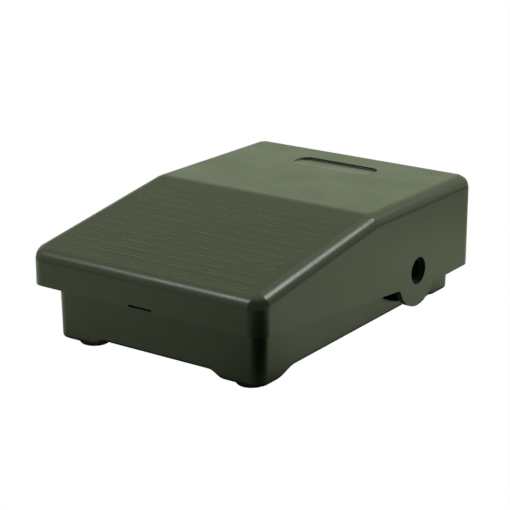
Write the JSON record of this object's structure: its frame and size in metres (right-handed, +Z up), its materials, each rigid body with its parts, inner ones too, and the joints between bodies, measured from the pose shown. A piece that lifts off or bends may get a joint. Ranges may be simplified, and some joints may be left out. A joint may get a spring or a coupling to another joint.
{
  "type": "sewing machine foot pedal",
  "caption": "Foot pedal speed control: hinged ribbed cover over a tray on rubber feet, with return springs, speed control and switch inside.",
  "frame": {"origin": "on the surface that the feet stand on, at the middle of the pedal's width and length", "axes": "+X to the user's right, +Y towards the hinge end, +Z up"},
  "size_m": [0.11, 0.1594, 0.0532],
  "materials": {
    "cover_plastic": "satin moulded, dark green-black",
    "tray_plastic": "satin moulded, dark green-black",
    "foot_rubber": "matte black rubber",
    "screw_steel": "zinc plated",
    "spring_steel": "drawn spring wire",
    "bush_plastic": "black nylon",
    "guard_plastic": "natural moulded",
    "board_laminate": "paper laminate",
    "control_plastic": "moulded housing",
    "plunger_plastic": "white acetal",
    "button_plastic": "red moulded button",
    "heat_sink_aluminium": "mill finish",
    "ferrite": "matte ferrite",
    "copper_wire": "enamelled copper",
    "capacitor_case": "yellow film capacitor",
    "fuse_glass": "clear",
    "clip_brass": "plain brass",
    "resistor_body": "lacquered",
    "terminal_plastic": "green moulded"
  },
  "bodies": {
    "base": {"base_tray": "tray_plastic", "rubber_feet": "foot_rubber", "foot_screws": "screw_steel", "hinge_bush_left": "bush_plastic", "hinge_bush_right": "bush_plastic", "bush_rings": "screw_steel", "return_spring_left": "spring_steel", "return_spring_right": "spring_steel", "front_stop_pads": "foot_rubber", "rear_rest_pads": "foot_rubber", "inner_guard": "guard_plastic", "guard_screws": "screw_steel", "circuit_board": "board_laminate", "board_screws": "screw_steel", "speed_control_body": "control_plastic", "plunger_spring": "spring_steel", "switch_body": "bush_plastic", "lever_pin": "spring_steel", "heat_sink": "heat_sink_aluminium", "triac": "bush_plastic", "triac_screw": "screw_steel", "choke_core": "ferrite", "choke_winding": "copper_wire", "suppression_capacitor": "capacitor_case", "fuse_tube": "fuse_glass", "fuse_clips": "clip_brass", "resistors": "resistor_body", "terminal_block": "terminal_plastic", "terminal_screws": "clip_brass"},
    "treadle": {"pedal_cover": "cover_plastic"},
    "speed_plunger_body": {"speed_plunger": "plunger_plastic"},
    "switch_lever_body": {"switch_lever": "spring_steel"},
    "switch_button_body": {"switch_button": "button_plastic"}
  },
  "joints": [
    {"name": "treadle_pivot", "type": "hinge", "parent": "base", "child": "treadle", "pos_m": [0, 0.0337, 0.0216], "axis": [1, 0, 0], "range_deg": [0, 5], "stiffness_Nm_per_rad": 6, "springref_deg": -5.73, "deforming": ["return_spring_left", "return_spring_right"]},
    {"name": "plunger_slide", "type": "slide", "parent": "base", "child": "speed_plunger_body", "axis": [0, 0, 1], "range_m": [-0.0052, 0], "deforming": ["plunger_spring"]},
    {"name": "lever_pivot", "type": "hinge", "parent": "base", "child": "switch_lever_body", "pos_m": [0.016, 0, 0.027], "axis": [1, 0, 0], "range_deg": [0, 16]},
    {"name": "button_slide", "type": "slide", "parent": "base", "child": "switch_button_body", "axis": [0, 0, 1], "range_m": [-0.0017, 0]}
  ],
  "couplings": [
    {"joint": "plunger_slide", "follows": "treadle_pivot", "m_per_rad": -0.0572},
    {"joint": "lever_pivot", "follows": "treadle_pivot", "ratio": 3.14},
    {"joint": "button_slide", "follows": "treadle_pivot", "m_per_rad": -0.0183}
  ]
}
